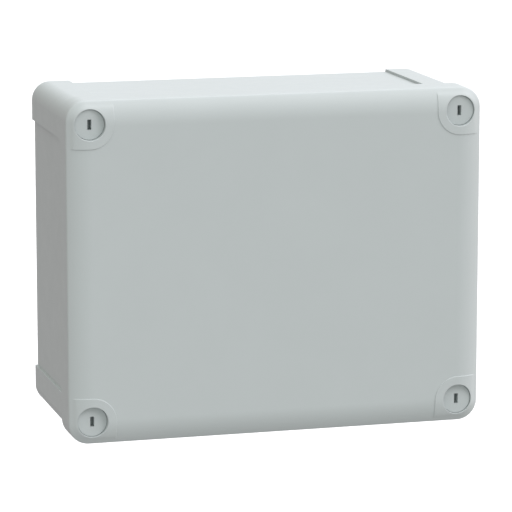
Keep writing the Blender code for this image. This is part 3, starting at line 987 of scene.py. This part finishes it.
def stop_mesh(name):
    """An end stop with its left face at x = 0: a screw well and a hole to the rail."""
    outline = mirrored(
        [
            (10 * MM, -46 * MM),
            (12 * MM, -44 * MM),
            (12 * MM, -34 * MM),
            (22 * MM, -28 * MM),
            (22 * MM, HOOK_BACK),
            (HOOK_TIP, HOOK_BACK),
            (HOOK_TIP, HOOK_FACE),
            (HOOK_SIDE, HOOK_FACE),
            (HOOK_SIDE, HOOK_CLEAR),
        ]
    )
    stop = rounded(slab(name, outline, 0, HOUSING_WIDTH), 0.35 * MM)
    middle = HOUSING_WIDTH / 2
    well = [(2.8 * MM, -30.5 * MM), (2.8 * MM, -45.6 * MM), (3.3 * MM, -46.3 * MM)]
    hole = [(1.8 * MM, HOOK_CLEAR + 1 * MM), (1.8 * MM, -31 * MM)]
    return combine(stop, [turned("well", well, middle, 0, 32), turned("hole", hole, middle, 0, 24)])


def copy_of(mesh_object, name, place):
    """The object's mesh once more, moved, under another name."""
    mesh = mesh_object.data.copy()
    mesh.transform(Matrix.Translation(Vector(place)))
    mesh.name = name
    obj = bpy.data.objects.new(name, mesh)
    bpy.context.scene.collection.objects.link(obj)
    return obj


def make_strip(looks):
    """The row on the rail. Each piece stands where the CAD node that it replaces stands."""
    patterns = {
        "terminal": housing_mesh("pattern_terminal", False),
        "earth": housing_mesh("pattern_earth", True),
        "cage": cage_mesh("pattern_cage"),
        "screw": clamp_screw_mesh("pattern_screw", TERMINAL_SCREW_FRONT, TERMINAL_SCREW_TIP),
        "stop": stop_mesh("pattern_stop"),
        "stop_screw": clamp_screw_mesh("pattern_stop_screw", STOP_SCREW_FRONT, HOOK_CLEAR),
    }
    for label in [f"terminal_{n}" for n in range(1, 6)] + ["earth_terminal"]:
        earth = label == "earth_terminal"
        kind = "earth" if earth else "terminal"
        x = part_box(f"{label}_housing")[0].x
        housing = copy_of(patterns[kind], f"{label}_moulding", (x, 0, 0))
        dress(housing, looks[kind], "base", [f"{label}_housing"])
        make_bar(label, x + CLAMP_X, earth, looks["copper"])
        for side, z in (("upper", CLAMP_Z), ("lower", -CLAMP_Z)):
            place = (x + CLAMP_X, 0, z)
            cage = copy_of(patterns["cage"], f"{label}_clamp_{side}", place)
            dress(cage, looks["zinc"], "base", [f"{label}_cage_{side}"])
            screw = copy_of(patterns["screw"], f"{label}_clamp_screw_{side}", place)
            dress(screw, looks["zinc"], "base", [f"{label}_screw_{side}"])
    for side in ("left", "right"):
        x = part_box(f"end_stop_{side}")[0].x
        stop = copy_of(patterns["stop"], f"end_clamp_{side}", (x, 0, 0))
        dress(stop, looks["stop"], "base", [f"end_stop_{side}"])
        place = (x + HOUSING_WIDTH / 2, 0, 0)
        screw = copy_of(patterns["stop_screw"], f"end_clamp_screw_{side}", place)
        dress(screw, looks["zinc"], "base", [f"end_stop_screw_{side}"])
    low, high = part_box("end_plate")
    plate = rounded(slab("terminal_end_plate", housing_outline(), low.x, high.x), 0.3 * MM)
    dress(plate, looks["terminal"], "base", ["end_plate"])
    for pattern in patterns.values():
        bpy.data.objects.remove(pattern, do_unlink=True)


def make_bar(label, centre, earth, look):
    """Current bar through a terminal's middle; the earth terminal's has legs down to the rail."""
    half = 1.5 * MM
    front = -26.6 * MM
    back = -24.6 * MM
    if earth:
        foot = HOOK_CLEAR
        outline = mirrored([(16.6 * MM, front), (16.6 * MM, foot), (14.8 * MM, foot), (14.8 * MM, back)])
    else:
        outline = mirrored([(16 * MM, front), (16 * MM, back)])
    bar = rounded(slab(f"{label}_current_bar", outline, centre - half, centre + half), 0.2 * MM)
    dress(bar, look, "base", [f"{label}_bar"])


# ---- materials


class Nodes:
    """A material's node tree, with short calls for the nodes used here."""

    MIX_INPUTS = (6, 7)  # the Mix node's sockets for colours
    MIX_OUTPUT = 2

    def __init__(self, name):
        self.material = bpy.data.materials.new(name)
        self.material.use_nodes = True
        self.tree = self.material.node_tree
        self.tree.nodes.clear()
        self.shader = self.add("ShaderNodeBsdfPrincipled")
        output = self.add("ShaderNodeOutputMaterial")
        self.link(self.shader.outputs["BSDF"], output.inputs["Surface"])
        self.place = self.add("ShaderNodeTexCoord").outputs["Object"]

    def add(self, kind, **values):
        node = self.tree.nodes.new(kind)
        for key, value in values.items():
            setattr(node, key, value)
        return node

    def link(self, source, target):
        self.tree.links.new(source, target)

    def noise(self, scale, detail, roughness=0.55, distortion=0.0):
        node = self.add("ShaderNodeTexNoise")
        node.inputs["Scale"].default_value = scale
        node.inputs["Detail"].default_value = detail
        node.inputs["Roughness"].default_value = roughness
        node.inputs["Distortion"].default_value = distortion
        self.link(self.place, node.inputs["Vector"])
        return node.outputs["Fac"]

    def ramp(self, source, low, high, low_value, high_value):
        node = self.add("ShaderNodeMapRange")
        node.inputs["From Min"].default_value = low
        node.inputs["From Max"].default_value = high
        node.inputs["To Min"].default_value = low_value
        node.inputs["To Max"].default_value = high_value
        self.link(source, node.inputs["Value"])
        return node.outputs["Result"]

    def mix(self, fac, first, second):
        node = self.add("ShaderNodeMix", data_type="RGBA")
        for key, value in zip(self.MIX_INPUTS, (first, second)):
            if isinstance(value, tuple):
                node.inputs[key].default_value = (*value, 1.0)
            else:
                self.link(value, node.inputs[key])
        self.link(fac, node.inputs[0])
        return node.outputs[self.MIX_OUTPUT]

    def bump(self, height, distance, strength, under=None):
        node = self.add("ShaderNodeBump")
        node.inputs["Strength"].default_value = strength
        node.inputs["Distance"].default_value = distance
        self.link(height, node.inputs["Height"])
        if under:
            self.link(under, node.inputs["Normal"])
        return node.outputs["Normal"]

    def compute(self, operation, first, second=0.0):
        node = self.add("ShaderNodeMath", operation=operation, use_clamp=True)
        for socket, value in zip(node.inputs, (first, second)):
            if isinstance(value, float):
                socket.default_value = value
            else:
                self.link(value, socket)
        return node.outputs[0]

    def between_heights(self, nearest, furthest):
        """1 where the distance from z = 0 lies between the two, with soft edges."""
        soft = 0.1 * MM
        split = self.add("ShaderNodeSeparateXYZ")
        self.link(self.place, split.inputs[0])
        height = self.compute("ABSOLUTE", split.outputs["Z"])
        inside = self.ramp(height, nearest - soft, nearest + soft, 0, 1)
        outside = self.ramp(height, furthest - soft, furthest + soft, 0, 1)
        return self.compute("SUBTRACT", inside, outside)

    def worn_edges(self, width):
        """1 along sharp edges, 0 on flat faces, broken up as rubbing would leave them."""
        bevel = self.add("ShaderNodeBevel", samples=4)
        bevel.inputs["Radius"].default_value = width
        turn = self.add("ShaderNodeVectorMath", operation="DOT_PRODUCT")
        self.link(bevel.outputs["Normal"], turn.inputs[0])
        self.link(self.add("ShaderNodeNewGeometry").outputs["Normal"], turn.inputs[1])
        edge = self.ramp(turn.outputs["Value"], 0.99, 0.86, 0, 1)
        rubbed = self.ramp(self.noise(420, 4, 0.65), 0.42, 0.62, 0.25, 1)
        return self.compute("MULTIPLY", edge, rubbed)


def moulded_plastic(
    name, colour, roughness, variation=0.03, grain=2600, grain_depth=0.012 * MM, band=None
):
    """Satin moulded plastic: spark-eroded grain, faint flow mottling, uneven gloss, rubbed edges.

    A band is (colour, nearest, furthest): a second colour between two heights above and below z = 0.
    """
    nodes = Nodes(name)
    shader = nodes.shader
    mottle = nodes.noise(26, 4, 0.6, 0.4)
    pale = tuple(min(1.0, c * (1 + variation)) for c in colour)
    deep = tuple(c * (1 - variation) for c in colour)
    body = nodes.mix(nodes.ramp(mottle, 0.35, 0.65, 0, 1), deep, pale)
    if band:
        second, nearest, furthest = band
        body = nodes.mix(nodes.between_heights(nearest, furthest), body, second)
    worn = nodes.worn_edges(0.25 * MM)
    rubbed = tuple(min(1.0, c * 1.12 + 0.01) for c in colour)
    paling = nodes.compute("MULTIPLY", worn, 0.35)
    nodes.link(nodes.mix(paling, body, rubbed), shader.inputs["Base Color"])
    gloss = nodes.ramp(nodes.noise(90, 5, 0.65), 0.3, 0.7, roughness - 0.05, roughness + 0.06)
    polish = nodes.compute("MULTIPLY", worn, 0.12)
    nodes.link(nodes.compute("SUBTRACT", gloss, polish), shader.inputs["Roughness"])
    fine = nodes.noise(grain, 2, 0.5)
    wavy = nodes.bump(nodes.noise(35, 2, 0.5), 0.05 * MM, 0.25)
    nodes.link(nodes.bump(fine, grain_depth, 0.6, wavy), shader.inputs["Normal"])
    shader.inputs["IOR"].default_value = 1.5
    return nodes.material


def metal(name, colour, roughness):
    """Plated metal with fine scratches, patchy brightness and bright rubbed edges."""
    nodes = Nodes(name)
    shader = nodes.shader
    patch = nodes.noise(120, 4, 0.6)
    deep = tuple(c * 0.86 for c in colour)
    plate = nodes.mix(nodes.ramp(patch, 0.35, 0.65, 0, 1), deep, colour)
    worn = nodes.worn_edges(0.2 * MM)
    bright = tuple(min(1.0, c * 1.25) for c in colour)
    nodes.link(nodes.mix(worn, plate, bright), shader.inputs["Base Color"])
    scratch = nodes.noise(900, 3, 0.7, 0.3)
    satin = nodes.ramp(scratch, 0.3, 0.7, roughness - 0.07, roughness + 0.1)
    polish = nodes.compute("MULTIPLY", worn, 0.1)
    nodes.link(nodes.compute("SUBTRACT", satin, polish), shader.inputs["Roughness"])
    nodes.link(nodes.bump(scratch, 0.01 * MM, 0.5), shader.inputs["Normal"])
    shader.inputs["Metallic"].default_value = 1.0
    return nodes.material


def make_looks():
    """Every material by its name in this script."""
    green = (0.08, 0.36, 0.10)
    yellow = (0.72, 0.56, 0.05)
    band = (yellow, 5.2 * MM, 16 * MM)
    return {
        "plastic": moulded_plastic("grey_abs", (0.52, 0.56, 0.56), 0.45, 0.006),
        "screw": moulded_plastic("grey_polyamide", (0.51, 0.55, 0.55), 0.4, 0.006),
        "seal": moulded_plastic("black_foam", (0.03, 0.03, 0.03), 0.85, 0.15, 1500, 0.08 * MM),
        "zinc": metal("zinc_plate", (0.66, 0.67, 0.68), 0.3),
        "copper": metal("tinned_copper", (0.72, 0.67, 0.60), 0.3),
        "terminal": moulded_plastic("terminal_grey", (0.32, 0.33, 0.34), 0.5, 0.03),
        "earth": moulded_plastic("terminal_green", green, 0.5, 0.03, band=band),
        "stop": moulded_plastic("stop_beige", (0.55, 0.50, 0.40), 0.5, 0.03),
    }


# ---- camera, light and floor

CAMERA_PLACE = (-0.4757, -1.7825, 0.3331)
CAMERA_YAW = math.radians(15.433)
CAMERA_PITCH = math.radians(10.648)
CAMERA_LENS = 222
CAMERA_SENSOR = 36

# The studio's soft lights: each wide lobe's axis and colour.
DOME = (
    ((1, 0, 0), (0.514, 0.486, 0.353)),
    ((-1, 0, 0), (0.123, 0.036, 0.048)),
    ((0, 1, 0), (0.5, 0.5, 0.5)),
    ((0, 0, 1), (0.926, 1.005, 0.890)),
    ((0, 0, -1), (0.430, 0.430, 0.454)),
    ((0.707, 0, 0.707), (1.506, 1.416, 1.675)),
    ((-0.6, -0.8, 0), (0.832, 0.885, 0.861)),
)
LOBE_POWER = 2
KEY_FROM = (0.55, -0.5, 0.67)
KEY_STRENGTH = 0.8
KEY_SPREAD = math.radians(28)
FLOOR_BELOW = 1.5
FLOOR_HALF = 30


def make_camera():
    """A long lens from the left, a little above, level in roll."""
    camera = bpy.data.objects.new("camera", bpy.data.cameras.new("camera"))
    bpy.context.scene.collection.objects.link(camera)
    camera.location = CAMERA_PLACE
    level = math.cos(CAMERA_PITCH)
    forward = Vector(
        (math.sin(CAMERA_YAW) * level, math.cos(CAMERA_YAW) * level, -math.sin(CAMERA_PITCH))
    )
    camera.rotation_euler = forward.to_track_quat("-Z", "Y").to_euler()
    camera.data.lens = CAMERA_LENS
    camera.data.sensor_width = CAMERA_SENSOR
    bpy.context.scene.camera = camera


def make_key_light():
    """A soft distant light from above, in front and to the right."""
    sun = bpy.data.objects.new("key_light", bpy.data.lights.new("key_light", "SUN"))
    bpy.context.scene.collection.objects.link(sun)
    sun.data.energy = KEY_STRENGTH
    sun.data.angle = KEY_SPREAD
    sun.rotation_euler = Vector(KEY_FROM).to_track_quat("Z", "Y").to_euler()


def make_world():
    """A soft studio dome made of wide lobes of light, plain white where the camera sees it."""
    world = bpy.data.worlds.new("studio")
    world.use_nodes = True
    nodes = world.node_tree.nodes
    links = world.node_tree.links
    background = nodes["Background"]
    direction = nodes.new("ShaderNodeTexCoord").outputs["Generated"]
    total = None
    for axis, colour in DOME:
        along = nodes.new("ShaderNodeVectorMath")
        along.operation = "DOT_PRODUCT"
        along.inputs[1].default_value = axis
        links.new(direction, along.inputs[0])
        ahead = nodes.new("ShaderNodeMath")
        ahead.operation = "MAXIMUM"
        ahead.inputs[1].default_value = 0
        links.new(along.outputs["Value"], ahead.inputs[0])
        lobe = nodes.new("ShaderNodeMath")
        lobe.operation = "POWER"
        lobe.inputs[1].default_value = LOBE_POWER
        links.new(ahead.outputs[0], lobe.inputs[0])
        tinted = nodes.new("ShaderNodeVectorMath")
        tinted.operation = "SCALE"
        tinted.inputs[0].default_value = colour
        links.new(lobe.outputs[0], tinted.inputs["Scale"])
        if total is None:
            total = tinted.outputs[0]
        else:
            add = nodes.new("ShaderNodeVectorMath")
            links.new(total, add.inputs[0])
            links.new(tinted.outputs[0], add.inputs[1])
            total = add.outputs[0]
    links.new(total, background.inputs["Color"])
    seen = nodes.new("ShaderNodeBackground")
    seen.inputs["Color"].default_value = (1, 1, 1, 1)
    mix = nodes.new("ShaderNodeMixShader")
    path = nodes.new("ShaderNodeLightPath")
    links.new(path.outputs["Is Camera Ray"], mix.inputs[0])
    links.new(background.outputs[0], mix.inputs[1])
    links.new(seen.outputs[0], mix.inputs[2])
    links.new(mix.outputs[0], nodes["World Output"].inputs["Surface"])
    bpy.context.scene.world = world


def make_floor():
    """A wide pale floor well below the box. It throws no light up: the dome does that."""
    bm = bmesh.new()
    bmesh.ops.create_grid(bm, x_segments=2, y_segments=2, size=FLOOR_HALF)
    floor = new_object("studio_floor", bm)
    floor.location = (0, 0, -FLOOR_BELOW)
    nodes = Nodes("pale_floor")
    pale = nodes.mix(nodes.noise(3, 3), (0.95, 0.95, 0.95), (0.98, 0.98, 0.98))
    nodes.link(pale, nodes.shader.inputs["Base Color"])
    nodes.shader.inputs["Roughness"].default_value = 0.9
    floor.data.materials.append(nodes.material)
    floor.visible_diffuse = False
    floor.visible_glossy = False
    floor.visible_shadow = False


def make_light():
    """The dome and the key light, with colours shown as they are."""
    make_world()
    make_key_light()
    bpy.context.scene.view_settings.view_transform = "Standard"


# ---- scene


def main():
    """Every visible piece, then the camera, the lights and the floor."""
    looks = make_looks()
    make_base(looks["plastic"])
    make_cover(looks["plastic"])
    make_seal(looks["seal"])
    for corner, (sx, sz) in CORNERS.items():
        make_cover_screw(corner, sx * SCREW_X, sz * SCREW_Z, looks["screw"])
    make_rail(looks["zinc"])
    for side in ("left", "right"):
        make_rail_screw(side, looks["zinc"])
    make_strip(looks)
    make_camera()
    make_light()
    make_floor()


main()
